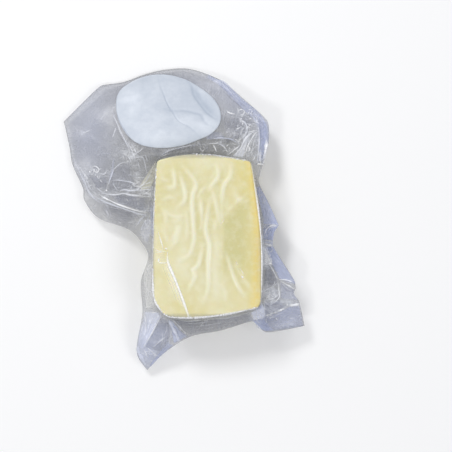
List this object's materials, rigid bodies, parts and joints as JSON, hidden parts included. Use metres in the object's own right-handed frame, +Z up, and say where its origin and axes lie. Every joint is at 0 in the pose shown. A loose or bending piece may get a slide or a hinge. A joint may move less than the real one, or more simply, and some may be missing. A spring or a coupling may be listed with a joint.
{
  "type": "vacuum packed mixed milk cheese block",
  "caption": "Block of pale yellow mixed milk cheese sealed in a clear vacuum pouch with wide crumpled flaps and a blank oval label.",
  "frame": {"origin": "middle of the flat base on which the packed block rests", "axes": "+Z up from the base to the ridged upper face, +Y along the block towards the flap with the label, +X towards the block's right side"},
  "size_m": [0.202, 0.2541, 0.05],
  "materials": {
    "clear_film": "glossy, crumpled clear film drawn tight over the cheese",
    "label_paper": "satin blank label with soft creases",
    "cheese": "smooth, moist pale yellow cheese with soft ridges"
  },
  "bodies": {
    "root": {"sealed_bag": "clear_film", "oval_label": "label_paper"}
  },
  "joints": []
}
